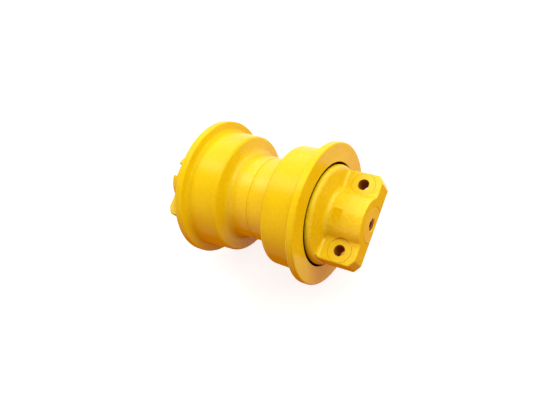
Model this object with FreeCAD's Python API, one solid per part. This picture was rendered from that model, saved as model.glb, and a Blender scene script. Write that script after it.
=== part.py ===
import FreeCAD, Part
import math
import os

# Track roller of a crawler undercarriage, in millimetres.
# The roller's axis is Y and the origin is the middle of that axis.  The mounting faces look down, to -Z,
# and the bolt pads look up, to +Z.  The oil plug is at the -Y end, called right; the +Y end is called left.
# Every piece of the right end is the left end's piece turned half a turn about Z.

# ---- roundings used all over
EDGE_BREAK = 0.8              # small machined edges
CAVITY_CORNER = 1.5           # inside corners of recesses and seal cavities

# ---- roller shell: two forged halves, welded together at the middle
SHELL_HALF_WIDTH = 108.0      # middle to a flange's outer face
FLANGE_RADIUS = 112.0
FLANGE_THICKNESS = 13.5
FLANGE_DRAFT = 1.2            # how much the flange thins from its root to its rim
FLANGE_EDGE_ROUND = 2.2
FLANGE_ROOT_FILLET = 5.0
TREAD_RADIUS = 97.3           # at the flange, where the link rail rides
TREAD_WIDTH = 53.0
TREAD_TAPER = 1.6             # how much lower the tread's inner edge lies
TREAD_EDGE_ROUND = 4.5
SHOULDER_SLOPE = 3.0          # how far the shoulder's face leans over its height
WAIST_RADIUS = 68.5
WAIST_FILLET = 12.0
WELD_WIDTH = 5.0              # weld groove at the waist's surface
WELD_DEPTH = 7.0
WELD_SINK = 1.1               # the bead's crown lies this far under the waist's surface
WELD_CROWN = 0.5

# ---- shaft
JOURNAL_RADIUS = 32.5
END_RADIUS = 28.5             # the stretch held in an end collar
THRUST_STEP = 9.5             # the thrust ring stands this far above the journals
THRUST_HALF_WIDTH = 9.0
SHAFT_END_CHAMFER = 1.0
CROSS_HOLE_OVERRUN = 1.0      # how far its cutting tool stands out of the journal
GALLERY_RADIUS = 5.0          # oil gallery along the axis
GALLERY_PAST_CROSS_HOLE = 15.0
CROSS_HOLE_RADIUS = 3.0

# ---- bushings
BUSHING_WALL = 5.0
BUSHING_FLANGE_THICKNESS = 5.0
BUSHING_FLANGE_LIP = 6.0
BUSHING_SETBACK = 2.0         # from the bushing's end to the seal cavity
RUNNING_CLEARANCE = 0.06      # radial, journal to bushing
THRUST_CLEARANCE = 0.3        # axial, thrust ring to bushing flange
CHAMBER_CLEARANCE = 0.5       # radial, bushing flange to the shell's chamber

# ---- floating seals, one pair of metal rings with its two rubber rings at each end
SEAL_PLANE_INSET = 11.5       # from the flange's outer face to where the two metal rings run on each other
SEAL_FILM = 0.1               # gap of the lapped faces
SEAL_RING_LENGTH = 12.4
SEAL_RING_LIP = 4.0           # thickness of the ring's outer lip
SEAL_RING_OVER_JOURNAL = 11.5
SEAL_RING_WALL = 6.0
SEAL_RING_TAPER = 1.2         # the ring's outside narrows this much to its tail
SEAL_RUBBER_SPACE = 8.0       # from the ring's outside to the housing
SEAL_RUBBER_RADIUS = 4.6      # before it is squeezed
SEAL_LIP_CLEARANCE = 2.2      # ring lip to housing
SEAL_END_CLEARANCE = 2.6      # ring tail to the cavity's floor
RECESS_DEPTH = 10.0           # recess in the flange face that takes the collar's disc
LABYRINTH_GAP = 3.6           # radial, collar disc to recess
LABYRINTH_FLOOR_GAP = 2.0

# ---- end collars
COLLAR_REACH = 69.0           # from the flange's outer face to the end face of collar and shaft
DISC_RADIUS = 78.4
DISC_THICKNESS = 15.5         # at the rim
DISC_RISE = 4.0               # the disc's face rises this much from rim to boss
DISC_RIM_ROUND = 6.0
BOSS_RADIUS = 41.5
BOSS_ROOT_FILLET = 7.0
MOUNTING_DROP = 15.0          # axis to the mounting faces
PAD_RISE = 16.0               # axis to the bolt pads
EAR_HALF_SPAN = 72.5
EAR_CORNER_X = 11.0
EAR_CORNER_Y = 7.5
EAR_CORNER_ROUND = 4.5
EAR_ROOT_FILLET = 5.5
EAR_BOSS_FILLET = 9.0
OUTER_EDGE_ROUND = 2.2        # cast edges of ears and boss
BOLT_X = 53.2                 # half the bolt spacing across the roller
BOLT_INSET = 28.0             # from the end face
BOLT_HOLE_RADIUS = 8.75
SPOTFACE_RADIUS = 18.5
SEAT_STEP = 3.0               # the mounting face starts this far out from the disc
MARK_FLAT_WIDTH = 15.0        # flat milled on the boss for a stamped number
MARK_FLAT_DEPTH = 1.2
MARK_FLAT_INSET = 9.0         # from the disc's face
MARK_FLAT_TURN = 12.0         # degrees, away from +Z

# ---- lock pins, O-rings, oil plug
PIN_RADIUS = 5.0
PIN_X = 19.5
PIN_RECESS = 1.0
PIN_IN_BOSS = 7.0
ORING_SECTION = 3.6
ORING_SQUEEZE = 0.7
ORING_INSET = 3.0             # from the shaft's shoulder
PLUG_RADIUS = 9.0
PLUG_LENGTH = 12.0
PLUG_SINK = 2.5
PLUG_MOUTH_CHAMFER = 1.6
HEX_ACROSS_FLATS = 10.0
HEX_DEPTH = 6.5

# ---- sizes that follow from those above
HALF_LENGTH = SHELL_HALF_WIDTH + COLLAR_REACH
BOLT_Y = HALF_LENGTH - BOLT_INSET
THRUST_RADIUS = JOURNAL_RADIUS + THRUST_STEP
BUSHING_BORE = JOURNAL_RADIUS + RUNNING_CLEARANCE
BUSHING_RADIUS = BUSHING_BORE + BUSHING_WALL
BUSHING_FLANGE_RADIUS = BUSHING_RADIUS + BUSHING_FLANGE_LIP
BUSHING_START = THRUST_HALF_WIDTH + THRUST_CLEARANCE
CHAMBER_RADIUS = BUSHING_FLANGE_RADIUS + CHAMBER_CLEARANCE
CHAMBER_HALF_WIDTH = BUSHING_START + BUSHING_FLANGE_THICKNESS
SEAL_RING_BORE = JOURNAL_RADIUS + SEAL_RING_OVER_JOURNAL
SEAL_RING_RADIUS = SEAL_RING_BORE + SEAL_RING_WALL
SEAL_HOUSING_RADIUS = SEAL_RING_RADIUS + SEAL_RUBBER_SPACE
SEAL_LIP_RADIUS = SEAL_HOUSING_RADIUS - SEAL_LIP_CLEARANCE
SEAL_PLANE_Y = SHELL_HALF_WIDTH - SEAL_PLANE_INSET
SEAL_REACH = SEAL_RING_LENGTH + SEAL_END_CLEARANCE
SHELL_CAVITY_FLOOR = SEAL_PLANE_Y - SEAL_REACH
COLLAR_CAVITY_FLOOR = SEAL_PLANE_Y + SEAL_REACH
RECESS_FLOOR = SHELL_HALF_WIDTH - RECESS_DEPTH
RECESS_RADIUS = DISC_RADIUS + LABYRINTH_GAP
DISC_INNER_Y = RECESS_FLOOR + LABYRINTH_FLOOR_GAP
DISC_RIM_Y = DISC_INNER_Y + DISC_THICKNESS
DISC_FACE_Y = DISC_RIM_Y + DISC_RISE
SEAT_Y = DISC_FACE_Y + SEAT_STEP
BUSHING_END = SHELL_CAVITY_FLOOR - BUSHING_SETBACK
CROSS_HOLE_Y = (BUSHING_START + BUSHING_END) / 2
GALLERY_END = CROSS_HOLE_Y + GALLERY_PAST_CROSS_HOLE
FLANGE_INNER_Y = SHELL_HALF_WIDTH - FLANGE_THICKNESS
TREAD_INNER_Y = FLANGE_INNER_Y - TREAD_WIDTH
FAR = 400.0                   # longer than the whole roller, for cutting tools
TOUCH = 1e-6                  # two lengths closer than this are the same

ORIGIN = FreeCAD.Vector(0, 0, 0)
X_AXIS = FreeCAD.Vector(1, 0, 0)
Y_AXIS = FreeCAD.Vector(0, 1, 0)
Z_AXIS = FreeCAD.Vector(0, 0, 1)


def outline(corners, place):
    """Closed wire through corners (u, v) or (u, v, rounding); place(u, v) gives the point in space."""
    count = len(corners)
    runs = []
    for i, corner in enumerate(corners):
        here = FreeCAD.Vector(corner[0], corner[1], 0)
        radius = corner[2] if len(corner) > 2 else 0.0
        if not radius:
            runs.append((here, None, here))
            continue
        before = FreeCAD.Vector(corners[i - 1][0], corners[i - 1][1], 0) - here
        after = FreeCAD.Vector(corners[(i + 1) % count][0], corners[(i + 1) % count][1], 0) - here
        before.normalize()
        after.normalize()
        half_angle = before.getAngle(after) / 2
        cut = radius / math.tan(half_angle)
        bisector = (before + after).normalize()
        middle = here + bisector * (radius / math.sin(half_angle) - radius)
        runs.append((here + before * cut, middle, here + after * cut))
    edges = []
    for i, (start, middle, end) in enumerate(runs):
        if middle is not None:
            arc = Part.Arc(place(start.x, start.y), place(middle.x, middle.y), place(end.x, end.y))
            edges.append(arc.toShape())
        following = runs[(i + 1) % count][0]
        if (following - end).Length > TOUCH:
            edges.append(Part.LineSegment(place(end.x, end.y), place(following.x, following.y)).toShape())
    return Part.Wire(edges)


def section(corners):
    """Flat face in a plane through the roller's axis, from corners (radius, y) or (radius, y, rounding)."""
    return Part.Face(outline(corners, lambda r, y: FreeCAD.Vector(r, y, 0)))


def turned(face):
    """Solid swept once round the roller's axis by a face made by section()."""
    return face.revolve(ORIGIN, Y_AXIS, 360)


def plate(corners, low, high):
    """Plate between two heights in Z, from corners in its plan given as (x, y) or (x, y, rounding)."""
    face = Part.Face(outline(corners, lambda x, y: FreeCAD.Vector(x, y, low)))
    return face.extrude(Z_AXIS * (high - low))


def along_y(radius, start, end):
    """Cylinder on the roller's axis."""
    return Part.makeCylinder(radius, end - start, FreeCAD.Vector(0, start, 0), Y_AXIS)


def along_z(radius, x, y, low, high):
    """Upright cylinder."""
    return Part.makeCylinder(radius, high - low, FreeCAD.Vector(x, y, low), Z_AXIS)


def to_right_end(shape):
    """The same piece at the right end: turned half a turn about Z."""
    copy = shape.copy()
    copy.rotate(ORIGIN, Z_AXIS, 180)
    return copy


def shell_half():
    """Left half of the shell: flange, tread, shoulder and half the waist outside; chamber, bearing bore,
    seal cavity and collar recess inside."""
    weld_root = WAIST_RADIUS - WELD_DEPTH
    return turned(section([
        (CHAMBER_RADIUS, 0),
        (weld_root, 0),
        (WAIST_RADIUS, WELD_WIDTH / 2, EDGE_BREAK),
        (WAIST_RADIUS, TREAD_INNER_Y - SHOULDER_SLOPE, WAIST_FILLET),
        (TREAD_RADIUS - TREAD_TAPER, TREAD_INNER_Y, TREAD_EDGE_ROUND),
        (TREAD_RADIUS, FLANGE_INNER_Y, FLANGE_ROOT_FILLET),
        (FLANGE_RADIUS, FLANGE_INNER_Y + FLANGE_DRAFT, FLANGE_EDGE_ROUND),
        (FLANGE_RADIUS, SHELL_HALF_WIDTH, FLANGE_EDGE_ROUND),
        (RECESS_RADIUS, SHELL_HALF_WIDTH, EDGE_BREAK),
        (RECESS_RADIUS, RECESS_FLOOR, CAVITY_CORNER),
        (SEAL_HOUSING_RADIUS, RECESS_FLOOR, EDGE_BREAK),
        (SEAL_HOUSING_RADIUS, SHELL_CAVITY_FLOOR, CAVITY_CORNER),
        (BUSHING_RADIUS, SHELL_CAVITY_FLOOR),
        (BUSHING_RADIUS, CHAMBER_HALF_WIDTH),
        (CHAMBER_RADIUS, CHAMBER_HALF_WIDTH),
    ]))


def weld_bead():
    """Weld metal that fills the V groove between the shell's halves, with a low crown."""
    top = WAIST_RADIUS - WELD_SINK
    half_top = WELD_WIDTH / 2 * (WELD_DEPTH - WELD_SINK) / WELD_DEPTH
    edges = [
        Part.LineSegment(FreeCAD.Vector(WAIST_RADIUS - WELD_DEPTH, 0, 0), FreeCAD.Vector(top, half_top, 0)),
        Part.Arc(FreeCAD.Vector(top, half_top, 0), FreeCAD.Vector(top + WELD_CROWN, 0, 0),
                 FreeCAD.Vector(top, -half_top, 0)),
        Part.LineSegment(FreeCAD.Vector(top, -half_top, 0), FreeCAD.Vector(WAIST_RADIUS - WELD_DEPTH, 0, 0)),
    ]
    return turned(Part.Face(Part.Wire([edge.toShape() for edge in edges])))


def bushing():
    """Left flanged bushing; its flange takes the thrust ring's side load."""
    return turned(section([
        (BUSHING_BORE, BUSHING_START),
        (BUSHING_FLANGE_RADIUS, BUSHING_START, EDGE_BREAK),
        (BUSHING_FLANGE_RADIUS, CHAMBER_HALF_WIDTH),
        (BUSHING_RADIUS, CHAMBER_HALF_WIDTH),
        (BUSHING_RADIUS, BUSHING_END, EDGE_BREAK),
        (BUSHING_BORE, BUSHING_END, EDGE_BREAK),
    ]))


def from_seal_plane(outward):
    """Function that places a corner by its distance from the seal plane; outward is 1 for the collar's rings
    and -1 for the shell's."""
    def at(radius, from_plane, rounding=0.0):
        return (radius, SEAL_PLANE_Y + outward * from_plane, rounding)
    return at


def seal_ring(outward):
    """Hard metal ring with a lapped face, an outer lip and a tapered outside that the rubber ring sits on."""
    at = from_seal_plane(outward)
    return turned(section([
        at(SEAL_RING_BORE, SEAL_FILM / 2, EDGE_BREAK),
        at(SEAL_LIP_RADIUS, SEAL_FILM / 2, EDGE_BREAK),
        at(SEAL_LIP_RADIUS, SEAL_RING_LIP, EDGE_BREAK),
        at(SEAL_RING_RADIUS, SEAL_RING_LIP, EDGE_BREAK),
        at(SEAL_RING_RADIUS - SEAL_RING_TAPER, SEAL_RING_LENGTH, EDGE_BREAK),
        at(SEAL_RING_BORE, SEAL_RING_LENGTH, EDGE_BREAK),
    ]))


def seal_rubber(outward):
    """Rubber ring squeezed between the metal ring's tapered outside and the housing's wall."""
    at = from_seal_plane(outward)
    middle = SEAL_RING_LIP + SEAL_RUBBER_RADIUS
    centre = at((SEAL_RING_RADIUS + SEAL_HOUSING_RADIUS) / 2, middle)
    circle = Part.makeCircle(SEAL_RUBBER_RADIUS, FreeCAD.Vector(centre[0], centre[1], 0), Z_AXIS)
    space = section([
        at(SEAL_RING_RADIUS, SEAL_RING_LIP),
        at(SEAL_HOUSING_RADIUS, SEAL_RING_LIP),
        at(SEAL_HOUSING_RADIUS, SEAL_REACH),
        at(SEAL_RING_RADIUS - SEAL_RING_TAPER, SEAL_RING_LENGTH),
    ])
    return turned(Part.Face(Part.Wire(circle)).common(space).Faces[0])


def shaft():
    """Shaft with a thrust ring in the middle, two journals and two ends with a flat for the mounting face."""
    side = [
        (0, 0),
        (THRUST_RADIUS, 0),
        (THRUST_RADIUS, THRUST_HALF_WIDTH, EDGE_BREAK),
        (JOURNAL_RADIUS, THRUST_HALF_WIDTH),
        (JOURNAL_RADIUS, COLLAR_CAVITY_FLOOR, EDGE_BREAK),
        (END_RADIUS, COLLAR_CAVITY_FLOOR),
        (END_RADIUS, COLLAR_CAVITY_FLOOR + ORING_INSET),
        (END_RADIUS - ORING_SECTION + ORING_SQUEEZE, COLLAR_CAVITY_FLOOR + ORING_INSET),
        (END_RADIUS - ORING_SECTION + ORING_SQUEEZE, COLLAR_CAVITY_FLOOR + ORING_INSET + ORING_SECTION),
        (END_RADIUS, COLLAR_CAVITY_FLOOR + ORING_INSET + ORING_SECTION),
        (END_RADIUS, HALF_LENGTH - SHAFT_END_CHAMFER),
        (END_RADIUS - SHAFT_END_CHAMFER, HALF_LENGTH),
        (0, HALF_LENGTH),
    ]
    half = turned(section(side)).cut(mounting_cut()).cut(pin_hole())
    reach = JOURNAL_RADIUS + CROSS_HOLE_OVERRUN
    half = half.cut(along_z(CROSS_HOLE_RADIUS, 0, CROSS_HOLE_Y, -reach, reach))
    whole = half.fuse(to_right_end(half)).removeSplitter()
    mouth = Part.makeCone(PLUG_RADIUS + PLUG_MOUTH_CHAMFER, PLUG_RADIUS, PLUG_MOUTH_CHAMFER,
                          FreeCAD.Vector(0, -HALF_LENGTH, 0), Y_AXIS)
    whole = whole.cut(mouth)
    whole = whole.cut(along_y(PLUG_RADIUS, -HALF_LENGTH, PLUG_SINK + PLUG_LENGTH - HALF_LENGTH))
    return whole.cut(along_y(GALLERY_RADIUS, -HALF_LENGTH, GALLERY_END))


def mounting_cut():
    """Space under the left mounting face, taken from collar and shaft alike."""
    return plate([(-FAR, SEAT_Y), (FAR, SEAT_Y), (FAR, FAR), (-FAR, FAR)], -FAR, -MOUNTING_DROP)


def pin_top():
    """Height where the lock pin's blind hole ends in the boss."""
    return math.sqrt(END_RADIUS ** 2 - PIN_X ** 2) + PIN_IN_BOSS


def pin_hole():
    """Hole of the left lock pin, through the shaft's edge into the boss."""
    return along_z(PIN_RADIUS, -PIN_X, BOLT_Y, -FAR, pin_top())


def lock_pin():
    """Left lock pin, pressed in from the mounting face and a little below it."""
    low = PIN_RECESS - MOUNTING_DROP
    pin = along_z(PIN_RADIUS, -PIN_X, BOLT_Y, low, pin_top())
    return pin.makeChamfer(EDGE_BREAK, [edge for edge in pin.Edges if edge.Closed])


def o_ring():
    """Left O-ring, squeezed in the shaft's groove by the collar's bore."""
    floor = END_RADIUS - ORING_SECTION + ORING_SQUEEZE
    start = COLLAR_CAVITY_FLOOR + ORING_INSET
    centre = FreeCAD.Vector(floor + ORING_SECTION / 2, start + ORING_SECTION / 2, 0)
    circle = Part.Face(Part.Wire(Part.makeCircle(ORING_SECTION / 2, centre, Z_AXIS)))
    groove = section([(floor, start), (END_RADIUS, start), (END_RADIUS, start + ORING_SECTION),
                      (floor, start + ORING_SECTION)])
    return turned(circle.common(groove).Faces[0])


def ear_blend(side):
    """Bar that fills the corner between the boss and one bolt pad with a fillet; side is 1 or -1."""
    centre_x = math.sqrt((BOSS_RADIUS + EAR_BOSS_FILLET) ** 2 - (PAD_RISE + EAR_BOSS_FILLET) ** 2)
    centre = FreeCAD.Vector(side * centre_x, 0, PAD_RISE + EAR_BOSS_FILLET)
    on_boss = centre * (BOSS_RADIUS / centre.Length)
    on_pad = FreeCAD.Vector(centre.x, 0, PAD_RISE)
    middle = centre + ((on_boss + on_pad) / 2 - centre).normalize() * EAR_BOSS_FILLET
    inside = [FreeCAD.Vector(centre.x, 0, 0), FreeCAD.Vector(on_boss.x, 0, 0)]
    edges = [
        Part.Arc(on_boss, middle, on_pad),
        Part.LineSegment(on_pad, inside[0]),
        Part.LineSegment(inside[0], inside[1]),
        Part.LineSegment(inside[1], on_boss),
    ]
    face = Part.Face(Part.Wire([edge.toShape() for edge in edges]))
    face.translate(Y_AXIS * DISC_INNER_Y)
    return face.extrude(Y_AXIS * (HALF_LENGTH - DISC_INNER_Y))


def ears_and_boss():
    """Boss and both bolt ears of the left collar, blended into each other, with their outer edges rounded."""
    corner_y = HALF_LENGTH - EAR_CORNER_Y
    corner_x = EAR_HALF_SPAN - EAR_CORNER_X
    body = plate([
        (-EAR_HALF_SPAN, DISC_INNER_Y), (EAR_HALF_SPAN, DISC_INNER_Y),
        (EAR_HALF_SPAN, corner_y, EAR_CORNER_ROUND), (corner_x, HALF_LENGTH, EAR_CORNER_ROUND),
        (-corner_x, HALF_LENGTH, EAR_CORNER_ROUND), (-EAR_HALF_SPAN, corner_y, EAR_CORNER_ROUND),
    ], -MOUNTING_DROP, PAD_RISE)
    body = body.fuse([ear_blend(1), ear_blend(-1), along_y(BOSS_RADIUS, DISC_INNER_Y, HALF_LENGTH)])
    body = body.cut(mounting_cut()).removeSplitter()
    rounded = []
    for edge in body.Edges:
        box = edge.BoundBox
        on_pad = abs(box.ZMin - PAD_RISE) < TOUCH and abs(box.ZMax - PAD_RISE) < TOUCH
        at_end = box.YMin > HALF_LENGTH - TOUCH and box.ZMax > PAD_RISE + TOUCH
        at_start = box.YMax < DISC_INNER_Y + TOUCH
        smooth = box.XLength < TOUCH and abs(box.XMin) < EAR_HALF_SPAN - TOUCH
        if (on_pad or at_end) and not at_start and not smooth:
            rounded.append(edge)
    return body.makeFillet(OUTER_EDGE_ROUND, rounded)


def ear_roots():
    """Bar across the left collar that fills the corner between its disc and the bolt pads with a fillet."""
    wall_y = DISC_FACE_Y - DISC_RISE / 2
    top = PAD_RISE + EAR_ROOT_FILLET
    half_span = EAR_HALF_SPAN - OUTER_EDGE_ROUND
    face = Part.Face(outline([
        (DISC_RIM_Y, PAD_RISE), (DISC_RIM_Y, top), (wall_y, top),
        (wall_y, PAD_RISE, EAR_ROOT_FILLET), (wall_y + EAR_ROOT_FILLET, PAD_RISE),
    ], lambda y, z: FreeCAD.Vector(-half_span, y, z)))
    bar = face.extrude(X_AXIS * 2 * half_span)
    return bar.common(along_y(DISC_RADIUS - DISC_RIM_ROUND, DISC_RIM_Y, HALF_LENGTH))


def mark_flat():
    """Space above the flat milled on the left boss for a stamped number."""
    floor = BOSS_RADIUS - MARK_FLAT_DEPTH
    space = Part.makeBox(2 * BOSS_RADIUS, MARK_FLAT_WIDTH, BOSS_RADIUS,
                         FreeCAD.Vector(-BOSS_RADIUS, DISC_FACE_Y + MARK_FLAT_INSET, floor))
    space.rotate(ORIGIN, Y_AXIS, MARK_FLAT_TURN)
    return space


def end_collar():
    """Left end collar: disc with the seal cavity, boss round the shaft, bolt ears, mounting face."""
    disc = turned(section([
        (END_RADIUS, COLLAR_CAVITY_FLOOR),
        (SEAL_HOUSING_RADIUS, COLLAR_CAVITY_FLOOR, CAVITY_CORNER),
        (SEAL_HOUSING_RADIUS, DISC_INNER_Y, EDGE_BREAK),
        (DISC_RADIUS, DISC_INNER_Y, CAVITY_CORNER),
        (DISC_RADIUS, DISC_RIM_Y, DISC_RIM_ROUND),
        (BOSS_RADIUS, DISC_FACE_Y, BOSS_ROOT_FILLET),
        (BOSS_RADIUS, DISC_FACE_Y + 2 * BOSS_ROOT_FILLET),
        (END_RADIUS, DISC_FACE_Y + 2 * BOSS_ROOT_FILLET),
    ]))
    hollow = along_y(END_RADIUS, DISC_INNER_Y, HALF_LENGTH)
    hollow = hollow.fuse(along_y(SEAL_HOUSING_RADIUS, DISC_INNER_Y, COLLAR_CAVITY_FLOOR))
    body = disc.fuse(ears_and_boss().fuse(ear_roots()).cut(hollow))
    body = body.cut(mounting_cut()).cut(pin_hole()).cut(mark_flat())
    for x in (-BOLT_X, BOLT_X):
        body = body.cut(along_z(BOLT_HOLE_RADIUS, x, BOLT_Y, -FAR, FAR))
        body = body.cut(along_z(SPOTFACE_RADIUS, x, BOLT_Y, PAD_RISE, FAR))
    return body.removeSplitter()


def oil_plug():
    """Hex socket plug of the oil hole, at the right end."""
    start = PLUG_SINK - HALF_LENGTH
    plug = along_y(PLUG_RADIUS, start, start + PLUG_LENGTH)
    plug = plug.makeChamfer(EDGE_BREAK, [edge for edge in plug.Edges if edge.Closed])
    corner = HEX_ACROSS_FLATS / math.sqrt(3)
    turns = [i * math.pi / 3 for i in range(7)]
    points = [FreeCAD.Vector(corner * math.cos(turn), start, corner * math.sin(turn)) for turn in turns]
    socket = Part.Face(Part.makePolygon(points)).extrude(Y_AXIS * HEX_DEPTH)
    return plug.cut(socket)


def write(name, shape):
    """Exports one piece, after a check that it is one sound solid."""
    solids = shape.Solids
    if len(solids) != 1 or not shape.isValid():
        raise ValueError(f"{name}: {len(solids)} solids, valid: {shape.isValid()}")
    solids[0].exportStep(f"parts/{name}.step")
    print(f"{name}: {solids[0].Volume / 1000:.1f} cm3")


def main():
    os.makedirs("parts", exist_ok=True)
    paired = {
        "shell_half": shell_half(),
        "bushing": bushing(),
        "seal_ring_rotating": seal_ring(-1),
        "seal_rubber_rotating": seal_rubber(-1),
        "seal_ring_static": seal_ring(1),
        "seal_rubber_static": seal_rubber(1),
        "end_collar": end_collar(),
        "lock_pin": lock_pin(),
        "o_ring": o_ring(),
    }
    for name, shape in paired.items():
        write(name + "_left", shape)
        write(name + "_right", to_right_end(shape))
    write("weld_bead", weld_bead())
    write("shaft", shaft())
    write("oil_plug", oil_plug())


main()
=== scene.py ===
import math

import bmesh
import bpy
from mathutils import Matrix, Vector


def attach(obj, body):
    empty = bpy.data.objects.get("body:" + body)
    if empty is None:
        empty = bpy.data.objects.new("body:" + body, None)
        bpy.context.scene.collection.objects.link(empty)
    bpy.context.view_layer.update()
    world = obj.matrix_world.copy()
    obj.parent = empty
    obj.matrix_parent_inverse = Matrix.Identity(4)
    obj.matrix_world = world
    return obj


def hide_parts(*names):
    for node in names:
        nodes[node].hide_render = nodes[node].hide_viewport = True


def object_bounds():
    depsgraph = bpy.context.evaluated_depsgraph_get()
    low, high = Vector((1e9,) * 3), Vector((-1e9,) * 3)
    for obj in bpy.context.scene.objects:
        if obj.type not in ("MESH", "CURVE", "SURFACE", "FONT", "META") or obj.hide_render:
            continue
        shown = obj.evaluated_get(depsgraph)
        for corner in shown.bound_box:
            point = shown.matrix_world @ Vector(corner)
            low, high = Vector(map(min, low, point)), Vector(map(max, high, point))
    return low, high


# Looks of a crawler's track roller. Everything is in metres, in the CAD's own frame: Y is the roller's axis
# and the bolt pads look to +Z. The camera and the lamps are set out in the viewer's frame, in which the
# roller is rolled about its own axis so that its pads look up and to one side.
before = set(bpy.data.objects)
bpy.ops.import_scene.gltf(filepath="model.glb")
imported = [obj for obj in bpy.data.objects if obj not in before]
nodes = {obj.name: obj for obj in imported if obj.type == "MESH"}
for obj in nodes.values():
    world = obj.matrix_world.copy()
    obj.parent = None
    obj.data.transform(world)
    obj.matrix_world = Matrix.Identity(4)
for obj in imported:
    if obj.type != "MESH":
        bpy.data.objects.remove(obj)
cad_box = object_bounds()
LOW, HIGH = (Vector(corner) for corner in cad_box)
MM = 0.001

# ---------------------------------------------------------------- the CAD's sizes that the materials follow
FLANGE_RADIUS = HIGH.x
FLANGE_FACE = 108 * MM        # along the axis
FORGED_RADIUS = 95 * MM       # the shell is as forged within this radius
FORGED_END = 50 * MM          # and up to here along the axis
RECESS = 82 * MM              # radius of the recess in the flange's face
RECESS_START = 60 * MM        # along the axis; past it, what lies within RECESS is inside the shell
CAVITY = 58 * MM              # radius of the seal cavity
END_FACE = HIGH.y             # along the axis, of collars and shaft
PLUG_HOLE = 9 * MM            # radius
PLUG_SOCKET = 4.9 * MM        # radius
MOUTH_DEPTH = 1.9 * MM        # how far the paint reaches into the mouth of the plug's hole
SEAT_START = 122 * MM         # along the axis, where the mounting faces begin
MOUNTING_Z = -15 * MM
BOSS_RADIUS = 41.5 * MM
PAD_Z = 16 * MM
BOLT_X = 53.2 * MM
BOLT_Y = 149 * MM
BOLT_HOLE = 8.75 * MM         # radius
SPOTFACE = 18.5 * MM          # radius
MARK_START = 128.5 * MM       # along the axis, the boss's flat for a number
MARK_END = 143.5 * MM
MARK_LEVEL = 35 * MM          # above the axis

# ---------------------------------------------------------------- viewer's frame
VIEWER_TO_ROW = Matrix.Rotation(math.radians(48), 3, "Y")
UP = Vector((0, 0, 1))


def from_viewer(x, y, z):
    """A direction or place given in the viewer's frame, in the CAD's frame."""
    return VIEWER_TO_ROW @ Vector((x, y, z))


def viewer_direction(azimuth, elevation):
    """Unit vector in the viewer's frame, from two angles in degrees."""
    azimuth, elevation = math.radians(azimuth), math.radians(elevation)
    level = math.cos(elevation)
    return Vector((math.sin(azimuth) * level, -math.cos(azimuth) * level, math.sin(elevation)))


def add_object(name, data, place, right, up, back):
    """Object at a place of the viewer's frame, its X, Y and Z along three directions of that frame."""
    made = bpy.data.objects.new(name, data)
    turn = Matrix((right, up, back)).transposed()
    made.matrix_world = Matrix.Translation(VIEWER_TO_ROW @ place) @ (VIEWER_TO_ROW @ turn).to_4x4()
    bpy.context.scene.collection.objects.link(made)
    return made


# ---------------------------------------------------------------- camera
CAMERA_AZIMUTH = -57.18       # degrees, in the viewer's frame
CAMERA_ELEVATION = 23.4
CAMERA_DISTANCE = 8.47        # in flange radii
CAMERA_AIM_RIGHT = 0.1198     # how far the aim lies beside the roller's middle, in flange radii
CAMERA_AIM_UP = -0.0094
LENS = 37.6                   # millimetres


def make_camera():
    back = viewer_direction(CAMERA_AZIMUTH, CAMERA_ELEVATION)
    right = UP.cross(back).normalized()
    up = back.cross(right)
    offset = back * CAMERA_DISTANCE + right * CAMERA_AIM_RIGHT + up * CAMERA_AIM_UP
    data = bpy.data.cameras.new("camera")
    data.lens = LENS
    data.sensor_width = 36.0
    data.clip_end = 50.0
    bpy.context.scene.camera = add_object("camera", data, offset * FLANGE_RADIUS, right, up, back)


make_camera()


# ---------------------------------------------------------------- node helpers
class Graph:
    """Shorthand for building a material's or the world's node tree."""

    def __init__(self, tree):
        self.tree = tree
        self.tree.nodes.clear()

    def node(self, kind, **settings):
        """New node; a setting is a property of the node or, failing that, one of its inputs."""
        made = self.tree.nodes.new(kind)
        for key, value in settings.items():
            if hasattr(made, key):
                setattr(made, key, value)
            else:
                made.inputs[key.replace("_", " ")].default_value = value
        return made

    def link(self, source, target):
        self.tree.links.new(source, target)

    def fill(self, socket, value):
        """Gives a socket a constant or the output of another node."""
        if isinstance(value, bpy.types.NodeSocket):
            self.link(value, socket)
        else:
            socket.default_value = value

    def math(self, operation, *values):
        made = self.node("ShaderNodeMath", operation=operation)
        for socket, value in zip(made.inputs, values):
            self.fill(socket, value)
        return made.outputs[0]

    def ramp(self, value, start, end):
        """0 before start and 1 past end, straight in between; start may be the larger."""
        made = self.node("ShaderNodeMapRange", From_Min=start, From_Max=end)
        self.link(value, made.inputs["Value"])
        return made.outputs[0]

    def mix(self, factor, first, second):
        made = self.node("ShaderNodeMix", data_type="RGBA")
        for socket, value in ((made.inputs[0], factor), (made.inputs[6], first), (made.inputs[7], second)):
            self.fill(socket, (*value, 1) if isinstance(value, tuple) else value)
        return made.outputs[2]

    def noise(self, place, scale, detail=3.0, roughness=0.5, stretch=None):
        made = self.node("ShaderNodeTexNoise", Scale=scale, Detail=detail, Roughness=roughness)
        if stretch:
            squash = self.node("ShaderNodeMapping")
            squash.inputs["Scale"].default_value = stretch
            self.link(place, squash.inputs[0])
            place = squash.outputs[0]
        self.link(place, made.inputs["Vector"])
        return made.outputs[0]

    def bump(self, height, distance, under=None):
        made = self.node("ShaderNodeBump", Strength=1.0, Distance=distance)
        self.link(height, made.inputs["Height"])
        if under:
            self.link(under, made.inputs["Normal"])
        return made.outputs[0]

    def principled(self, **sockets):
        """The material's shader and its output; a socket takes a constant or another node's output."""
        shader = self.node("ShaderNodeBsdfPrincipled")
        for key, value in sockets.items():
            value = (*value, 1) if isinstance(value, tuple) else value
            self.fill(shader.inputs[key.replace("_", " ")], value)
        output = self.node("ShaderNodeOutputMaterial")
        self.link(shader.outputs[0], output.inputs[0])


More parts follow.
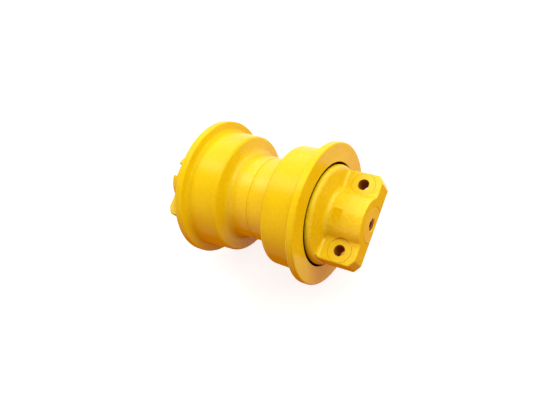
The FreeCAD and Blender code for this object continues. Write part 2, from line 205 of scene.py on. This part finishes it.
class Place:
    """Where a point lies on the roller, in metres: its coordinates, its distance from the roller's axis and
    its distance from the nearest bolt hole's axis."""

    def __init__(self, graph):
        self.vector = graph.node("ShaderNodeTexCoord").outputs["Object"]
        split = graph.node("ShaderNodeSeparateXYZ")
        graph.link(self.vector, split.inputs[0])
        self.x, y, self.z = split.outputs
        self.along = graph.math("ABSOLUTE", y)
        self.radius = self.length(graph, self.x, self.z)
        self.from_bolt = self.length(graph, graph.math("SUBTRACT", graph.math("ABSOLUTE", self.x), BOLT_X),
                                     graph.math("SUBTRACT", self.along, BOLT_Y))

    @staticmethod
    def length(graph, first, second):
        return graph.math("SQRT", graph.math("ADD", graph.math("MULTIPLY", first, first),
                                             graph.math("MULTIPLY", second, second)))


def shaded_underside(graph):
    """1 on the faces that look down in the viewer's frame at rest (the mask turns with the piece); their
    colour gets painted shade and their gloss is dulled.
    """
    normal = graph.node("ShaderNodeTexCoord").outputs["Normal"]
    facing = graph.node("ShaderNodeVectorMath", operation="DOT_PRODUCT")
    graph.link(normal, facing.inputs[0])
    facing.inputs[1].default_value = from_viewer(0, 0, -1)
    return graph.ramp(facing.outputs["Value"], 0.0, 0.5)


def new_material(name):
    material = bpy.data.materials.new(name)
    material.use_nodes = True
    return material, Graph(material.node_tree)


def background_rays(graph):
    """1 for the rays that see the background: from the camera, off something glossy or through glass."""
    rays = graph.node("ShaderNodeLightPath")
    seen = graph.math("MAXIMUM", rays.outputs["Is Camera Ray"], rays.outputs["Is Glossy Ray"])
    return graph.math("MAXIMUM", seen, rays.outputs["Is Transmission Ray"])


# ---------------------------------------------------------------- stage and light
FLOOR_HALF = 6.0
FLOOR_COLOUR = (0.35, 0.35, 0.35)
FLOOR_GLOW = 0.78             # what the background rays see on top of the lit floor
FLOOR_BOUNCE = (0.55, 0.17, 0.02)     # what the floor throws back at the object
WORLD_LIGHT = 0.34
LAMP_DISTANCE = 1.6
WARM = (1.0, 0.5, 0.2)        # colour of the two low lamps, like light thrown back by the surroundings


def make_floor():
    """Plain floor that keeps the object's shadow. The background rays see it close to white; on the object
    it throws a warm light."""
    mesh = bpy.data.meshes.new("floor")
    floor = bpy.data.objects.new("floor", mesh)
    bpy.context.scene.collection.objects.link(floor)
    shape = bmesh.new()
    quarters = ((-1, -1), (1, -1), (1, 1), (-1, 1))
    shape.faces.new([shape.verts.new((x * FLOOR_HALF, y * FLOOR_HALF, LOW.z)) for x, y in quarters])
    shape.to_mesh(mesh)
    shape.free()
    material, graph = new_material("floor")
    diffuse = graph.node("ShaderNodeBsdfDiffuse", Color=(*FLOOR_COLOUR, 1))
    bounce = graph.node("ShaderNodeBsdfDiffuse", Color=(*FLOOR_BOUNCE, 1))
    glow = graph.node("ShaderNodeEmission", Color=(1, 1, 1, 1), Strength=FLOOR_GLOW)
    total = graph.node("ShaderNodeAddShader")
    seen = graph.node("ShaderNodeMixShader")
    graph.link(diffuse.outputs[0], total.inputs[0])
    graph.link(glow.outputs[0], total.inputs[1])
    graph.link(background_rays(graph), seen.inputs[0])
    graph.link(bounce.outputs[0], seen.inputs[1])
    graph.link(total.outputs[0], seen.inputs[2])
    output = graph.node("ShaderNodeOutputMaterial")
    graph.link(seen.outputs[0], output.inputs[0])
    mesh.materials.append(material)


def make_world():
    """Weak even light all round; the background rays see it white."""
    world = bpy.data.worlds.new("studio")
    world.use_nodes = True
    bpy.context.scene.world = world
    graph = Graph(world.node_tree)
    light = graph.node("ShaderNodeBackground", Color=(1, 1, 1, 1), Strength=WORLD_LIGHT)
    backdrop = graph.node("ShaderNodeBackground", Color=(1, 1, 1, 1), Strength=1.0)
    mix = graph.node("ShaderNodeMixShader")
    graph.link(background_rays(graph), mix.inputs[0])
    graph.link(light.outputs[0], mix.inputs[1])
    graph.link(backdrop.outputs[0], mix.inputs[2])
    output = graph.node("ShaderNodeOutputWorld")
    graph.link(mix.outputs[0], output.inputs[0])


def lamp(name, azimuth, elevation, power, length=0.9, width=0.9, colour=(1, 1, 1)):
    """Soft box in a direction of the viewer's frame, aimed at the roller's middle, its length level."""
    data = bpy.data.lights.new(name, "AREA")
    data.color = colour
    data.shape = "RECTANGLE"
    data.size = length
    data.size_y = width
    data.energy = power
    back = viewer_direction(azimuth, elevation)
    level = UP.cross(back).normalized()
    add_object(name, data, back * LAMP_DISTANCE, level, back.cross(level), back)


make_floor()
make_world()
lamp("overhead", 0, 66, 17.0, length=2.6, width=0.18)
lamp("overhead_back", 180, 63, 11.5, length=2.6, width=0.9)
lamp("key", -58, 50, 4.1)
lamp("side", -10, 45, 5.9)
lamp("far_side", -141, 51, 5.0, length=0.6, width=0.6)
lamp("low_left", -105, -10, 7.5, colour=WARM)
lamp("low_right", -10, -10, 4.5, colour=WARM)

bpy.context.scene.view_settings.view_transform = "Standard"


# ---------------------------------------------------------------- materials
# A mask is a product of ramps; their steps of a few tenths of a millimetre keep its edges soft.
PAINT = (0.80, 0.57, 0.004)
PAINT_DEEP = (0.76, 0.50, 0.002)
# painted shade for the faces that look down
PAINT_UNDERSIDE_SHADE = (0.70, 0.40, 0.002)
PAINT_SHEEN = (1.0, 0.90, 0.60)
PAINT_LEVEL = 0.14            # strength of the enamel's gloss on turned faces
FORGED_LEVEL = 0.3            # on the forged waist
CAST_LEVEL = 0.45             # and on the castings
# painted shade, near black, for the gap, the recesses and the inside of holes
SHADOWED = (0.024, 0.007, 0.003)
# painted shade, a dark orange-brown, on the walls of the bolt holes
HOLE_SHADE = (0.36, 0.13, 0.01)
MARK_TONE = (0.74, 0.43, 0.004)
SEALANT = (0.55, 0.03, 0.09)
TURNING_PITCH = 1.7 * MM      # of the rings on the spotfaces
WELD_RIPPLES = 110            # round the waist
WELD_WOBBLE = 5.0             # how unevenly they follow each other, in radians


def paint_tone(graph, place):
    """Enamel's colour, with a slow drift and a fine mottle, and painted shade on the faces that look down."""
    drift = graph.noise(place.vector, 14.0)
    mottle = graph.noise(place.vector, 210.0, 4.0)
    amount = graph.math("MULTIPLY", graph.math("ADD", drift, mottle), 0.5)
    coat = graph.mix(graph.ramp(amount, 0.62, 0.38), PAINT, PAINT_DEEP)
    # painted shade: the faces that look down are mixed toward a darker orange
    return graph.mix(shaded_underside(graph), coat, PAINT_UNDERSIDE_SHADE)


def shell_material():
    """Paint over the forged shell: turned treads and flanges, a rougher shoulder and waist, and painted
    shade on the walls of the flange's recess and of the seal cavity."""
    material, graph = new_material("paint_on_forging")
    place = Place(graph)
    forged = graph.math("MULTIPLY", graph.ramp(place.radius, FORGED_RADIUS, FORGED_RADIUS - 5 * MM),
                        graph.ramp(place.along, FORGED_END, FORGED_END - 6 * MM))
    scale = graph.noise(place.vector, 330.0, 5.0, 0.6, (1.0, 0.35, 1.0))
    fine = graph.noise(place.vector, 900.0, 2.0)
    normal = graph.bump(graph.math("MULTIPLY", scale, forged), 0.5 * MM)
    normal = graph.bump(fine, 0.06 * MM, under=normal)
    along_recess = graph.math("MULTIPLY", graph.ramp(place.along, RECESS_START, RECESS_START + 2 * MM),
                              graph.ramp(place.along, FLANGE_FACE - 0.3 * MM, FLANGE_FACE - 2 * MM))
    in_recess = graph.ramp(place.radius, RECESS + 0.6 * MM, RECESS + 0.3 * MM)
    recess = graph.math("MULTIPLY", in_recess, along_recess)
    painted_shade = graph.math("MAXIMUM", recess, graph.ramp(place.radius, CAVITY + 3 * MM, CAVITY + 2 * MM))
    # painted shade: the flange's recess and the seal cavity are coloured SHADOWED
    colour = graph.mix(painted_shade, paint_tone(graph, place), SHADOWED)
    rough = graph.math("MULTIPLY_ADD", fine, 0.12, graph.math("MULTIPLY_ADD", forged, -0.03, 0.16))
    gloss = graph.math("MULTIPLY_ADD", forged, FORGED_LEVEL - PAINT_LEVEL, PAINT_LEVEL)
    dull = graph.math("MAXIMUM", painted_shade, shaded_underside(graph))
    level = graph.math("MULTIPLY", gloss, graph.math("SUBTRACT", 1.0, dull))
    graph.principled(Base_Color=colour, Roughness=rough, Normal=normal, Specular_IOR_Level=level,
                     Specular_Tint=PAINT_SHEEN)
    return material


def collar_material():
    """Paint over a sand casting with turned spotfaces; painted shade darkens the walls of the bolt holes and
    of the gap at the shell."""
    material, graph = new_material("paint_on_casting")
    place = Place(graph)
    near_bolt = graph.ramp(place.from_bolt, SPOTFACE + 0.1 * MM, SPOTFACE - 0.3 * MM)
    on_spotface = graph.math("MULTIPLY", near_bolt, graph.math("LESS_THAN", place.z, PAD_Z + 0.1 * MM))
    cast = graph.math("SUBTRACT", 1.0, on_spotface)
    lumps = graph.noise(place.vector, 190.0, 2.0)
    grain = graph.noise(place.vector, 620.0, 4.0, 0.6)
    rings = graph.math("SINE", graph.math("MULTIPLY", place.from_bolt, 2 * math.pi / TURNING_PITCH))
    normal = graph.bump(graph.math("MULTIPLY", lumps, cast), 0.9 * MM)
    normal = graph.bump(graph.math("MULTIPLY", grain, cast), 0.35 * MM, under=normal)
    normal = graph.bump(graph.math("MULTIPLY", rings, on_spotface), 0.05 * MM, under=normal)
    in_hole = graph.math("MULTIPLY", graph.ramp(place.from_bolt, BOLT_HOLE + 0.25 * MM, BOLT_HOLE + 0.1 * MM),
                         graph.ramp(place.z, PAD_Z - 0.4 * MM, PAD_Z - 1.6 * MM))
    in_gap = graph.ramp(place.along, FLANGE_FACE + 0.6 * MM, FLANGE_FACE - 1.4 * MM)
    worn = graph.math("MULTIPLY", graph.ramp(rings, 0.2, 1.0), graph.math("MULTIPLY", on_spotface, 0.25))
    tone = graph.mix(worn, paint_tone(graph, place), PAINT_DEEP)
    on_mark = graph.math("MULTIPLY", graph.math("LESS_THAN", place.radius, BOSS_RADIUS - 0.05 * MM),
                         graph.math("GREATER_THAN", place.z, MARK_LEVEL))
    along_mark = graph.math("MULTIPLY", graph.ramp(place.along, MARK_START - 0.3 * MM, MARK_START + 0.3 * MM),
                            graph.ramp(place.along, MARK_END + 0.3 * MM, MARK_END - 0.3 * MM))
    on_mark = graph.math("MULTIPLY", on_mark, along_mark)
    tone = graph.mix(graph.math("MULTIPLY", on_mark, 0.8), tone, MARK_TONE)
    # painted shade: the walls of the bolt holes take HOLE_SHADE
    colour = graph.mix(in_hole, tone, HOLE_SHADE)
    # painted shade: the gap at the shell is coloured SHADOWED
    colour = graph.mix(in_gap, colour, SHADOWED)
    dull = graph.math("MAXIMUM", graph.math("MAXIMUM", in_hole, in_gap), on_mark)
    on_end = graph.math("MULTIPLY", 0.85, graph.ramp(place.along, END_FACE - 0.4 * MM, END_FACE - 0.1 * MM))
    dull = graph.math("MAXIMUM", dull, graph.math("MAXIMUM", on_end, shaded_underside(graph)))
    rough = graph.math("MULTIPLY_ADD", grain, 0.14, graph.math("MULTIPLY_ADD", dull, 0.4, 0.18))
    level = graph.math("MULTIPLY_ADD", dull, -CAST_LEVEL, CAST_LEVEL)
    graph.principled(Base_Color=colour, Roughness=rough, Normal=normal, Specular_IOR_Level=level,
                     Specular_Tint=PAINT_SHEEN)
    return material


def weld_material():
    """Paint over the weld bead's ripples."""
    material, graph = new_material("paint_on_weld")
    place = Place(graph)
    turn = graph.math("ARCTAN2", place.x, place.z)
    wobble = graph.noise(place.vector, 120.0)
    wobble = graph.math("MULTIPLY", wobble, WELD_WOBBLE)
    ripples = graph.math("SINE", graph.math("MULTIPLY_ADD", turn, WELD_RIPPLES, wobble))
    normal = graph.bump(ripples, 0.08 * MM)
    level = graph.math("MULTIPLY_ADD", shaded_underside(graph), -FORGED_LEVEL, FORGED_LEVEL)
    graph.principled(Base_Color=paint_tone(graph, place), Roughness=0.24, Normal=normal,
                     Specular_IOR_Level=level, Specular_Tint=PAINT_SHEEN)
    return material


def metal(graph, place, colour, roughness, stretch=(0.2, 3.0, 0.2)):
    """Colour, roughness and normal of bare metal with fine turning marks."""
    marks = graph.noise(place.vector, 300.0, 3.0, 0.5, stretch)
    darker = tuple(0.8 * part for part in colour)
    return (graph.mix(marks, darker, colour), graph.math("MULTIPLY_ADD", marks, 0.18, roughness - 0.06),
            graph.bump(marks, 0.06 * MM))


def metal_material(name, colour, roughness):
    material, graph = new_material(name)
    place = Place(graph)
    tone, rough, normal = metal(graph, place, colour, roughness)
    graph.principled(Base_Color=tone, Roughness=rough, Normal=normal, Metallic=1.0)
    return material


def shaft_material():
    """Ground steel, with paint on the two end faces, the mounting flats and the mouth of the plug's hole;
    deeper in that hole the colour is painted shade.
    """
    material, graph = new_material("shaft_steel")
    place = Place(graph)
    tone, rough, normal = metal(graph, place, (0.56, 0.57, 0.58), 0.25)
    painted = graph.ramp(place.along, END_FACE - MOUTH_DEPTH, END_FACE - MOUTH_DEPTH + 0.2 * MM)
    flat = graph.math("MULTIPLY", graph.math("LESS_THAN", place.z, MOUNTING_Z + 0.1 * MM),
                      graph.math("GREATER_THAN", place.along, SEAT_START))
    painted = graph.math("MAXIMUM", painted, flat)
    bare = graph.math("SUBTRACT", 1.0, painted)
    # painted shade: past the painted mouth, the plug's hole is coloured SHADOWED
    in_hole = graph.ramp(place.radius, PLUG_HOLE + 0.3 * MM, PLUG_HOLE + 0.1 * MM)
    deep_shade = graph.math("MULTIPLY", in_hole, bare)
    colour = graph.mix(painted, graph.mix(deep_shade, tone, SHADOWED), paint_tone(graph, place))
    graph.principled(Base_Color=colour, Roughness=graph.math("MULTIPLY_ADD", painted, 0.2, rough),
                     Normal=normal, Metallic=graph.math("MULTIPLY", bare, graph.math("SUBTRACT", 1.0, deep_shade)),
                     Specular_IOR_Level=PAINT_LEVEL, Specular_Tint=PAINT_SHEEN)
    return material


def plug_material():
    """Blackened steel plug, its face smeared with magenta thread sealant."""
    material, graph = new_material("plug")
    place = Place(graph)
    tone, rough, normal = metal(graph, place, (0.10, 0.10, 0.11), 0.4)
    smear = graph.noise(place.vector, 260.0)
    round_socket = graph.ramp(place.radius, PLUG_SOCKET, PLUG_SOCKET + 0.7 * MM)
    sealed = graph.math("MULTIPLY", round_socket, graph.ramp(smear, 0.36, 0.46))
    graph.principled(Base_Color=graph.mix(sealed, tone, SEALANT), Roughness=rough, Normal=normal,
                     Metallic=graph.math("SUBTRACT", 1.0, sealed))
    return material


def rubber_material():
    material, graph = new_material("black_rubber")
    place = Place(graph)
    skin = graph.noise(place.vector, 900.0, 2.0)
    graph.principled(Base_Color=graph.mix(skin, (0.016, 0.016, 0.017), (0.026, 0.026, 0.027)),
                     Roughness=graph.math("MULTIPLY_ADD", skin, 0.2, 0.5), Normal=graph.bump(skin, 0.05 * MM))
    return material


# ---------------------------------------------------------------- the left collar's notch
NOTCH_WIDTH = 23 * MM         # across the roller
NOTCH_LENGTH = 12 * MM        # from the end face
NOTCH_FLOOR = 31 * MM         # above the roller's axis
MERGE_DISTANCE = 0.001 * MM
SAME_FACE = 0.9               # least cosine between a face's normal and a corner normal kept for it


def box_mesh(low, high):
    """Mesh of a box between two corners."""
    mesh = bpy.data.meshes.new("box")
    shape = bmesh.new()
    bmesh.ops.create_cube(shape, size=1.0)
    for vertex in shape.verts:
        vertex.co = Vector([low[i] if vertex.co[i] < 0 else high[i] for i in range(3)])
    shape.to_mesh(mesh)
    shape.free()
    return mesh


def welded_copy(mesh):
    """Copy of a CAD node's mesh whose faces share their corners."""
    copy = bpy.data.meshes.new(mesh.name)
    shape = bmesh.new()
    shape.from_mesh(mesh)
    bmesh.ops.remove_doubles(shape, verts=shape.verts, dist=MERGE_DISTANCE)
    shape.to_mesh(copy)
    shape.free()
    return copy


def corner_place(mesh, corner):
    """Where a face's corner lies, to a hundredth of a millimetre."""
    return mesh.vertices[mesh.loops[corner].vertex_index].co.to_tuple(5)


def keep_normals(source, target):
    """Give each corner of the target the source's own normal there, and new faces their flat one."""
    known = {}
    for corner, normal in enumerate(source.corner_normals):
        known.setdefault(corner_place(source, corner), []).append(normal.vector.copy())
    normals = []
    for face in target.polygons:
        for corner in face.loop_indices:
            nearest = max(known.get(corner_place(target, corner), [face.normal]), key=face.normal.dot)
            normals.append(nearest if nearest.dot(face.normal) > SAME_FACE else face.normal.copy())
    target.shade_smooth()
    target.normals_split_custom_set(normals)


def make_notched_collar():
    """The left collar with a notch across the upper side of its boss's end, in place of the CAD's plain
    one."""
    plain = nodes["end_collar_left"].data
    collar = bpy.data.objects.new("notched_collar_left", welded_copy(plain))
    notch = box_mesh((-NOTCH_WIDTH / 2, END_FACE - NOTCH_LENGTH, NOTCH_FLOOR),
                     (NOTCH_WIDTH / 2, END_FACE + MM, HIGH.z))
    tool = bpy.data.objects.new("notch_tool", notch)
    for made in (collar, tool):
        bpy.context.scene.collection.objects.link(made)
    cut = collar.modifiers.new("notch", "BOOLEAN")
    cut.object = tool
    cut.operation = "DIFFERENCE"
    cut.solver = "EXACT"
    shaped = bpy.data.meshes.new_from_object(collar.evaluated_get(bpy.context.evaluated_depsgraph_get()))
    collar.modifiers.clear()
    bpy.data.objects.remove(tool)
    collar.data = shaped
    keep_normals(plain, shaped)
    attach(collar, "axle")
    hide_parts("end_collar_left")
    return collar


# ---------------------------------------------------------------- materials on the pieces
def both(name):
    """The names of a piece at the left end and at the right end."""
    return name + "_left", name + "_right"


def paint(piece, material):
    piece.data.materials.clear()
    piece.data.materials.append(material)


def dress(names, material):
    """Give nodes of the CAD a material."""
    for name in names:
        paint(nodes[name], material)


iron = metal_material("seal_iron", (0.3, 0.3, 0.31), 0.35)
dress(both("shell_half"), shell_material())
dress(("weld_bead",), weld_material())
casting = collar_material()
dress(both("end_collar"), casting)
paint(make_notched_collar(), casting)
dress(("shaft",), shaft_material())
dress(both("bushing"), metal_material("bronze", (0.62, 0.4, 0.2), 0.3))
dress((*both("seal_ring_rotating"), *both("seal_ring_static")), iron)
dress((*both("seal_rubber_rotating"), *both("seal_rubber_static"), *both("o_ring")), rubber_material())
dress(both("lock_pin"), metal_material("dark_steel", (0.12, 0.12, 0.13), 0.4))
dress(("oil_plug",), plug_material())
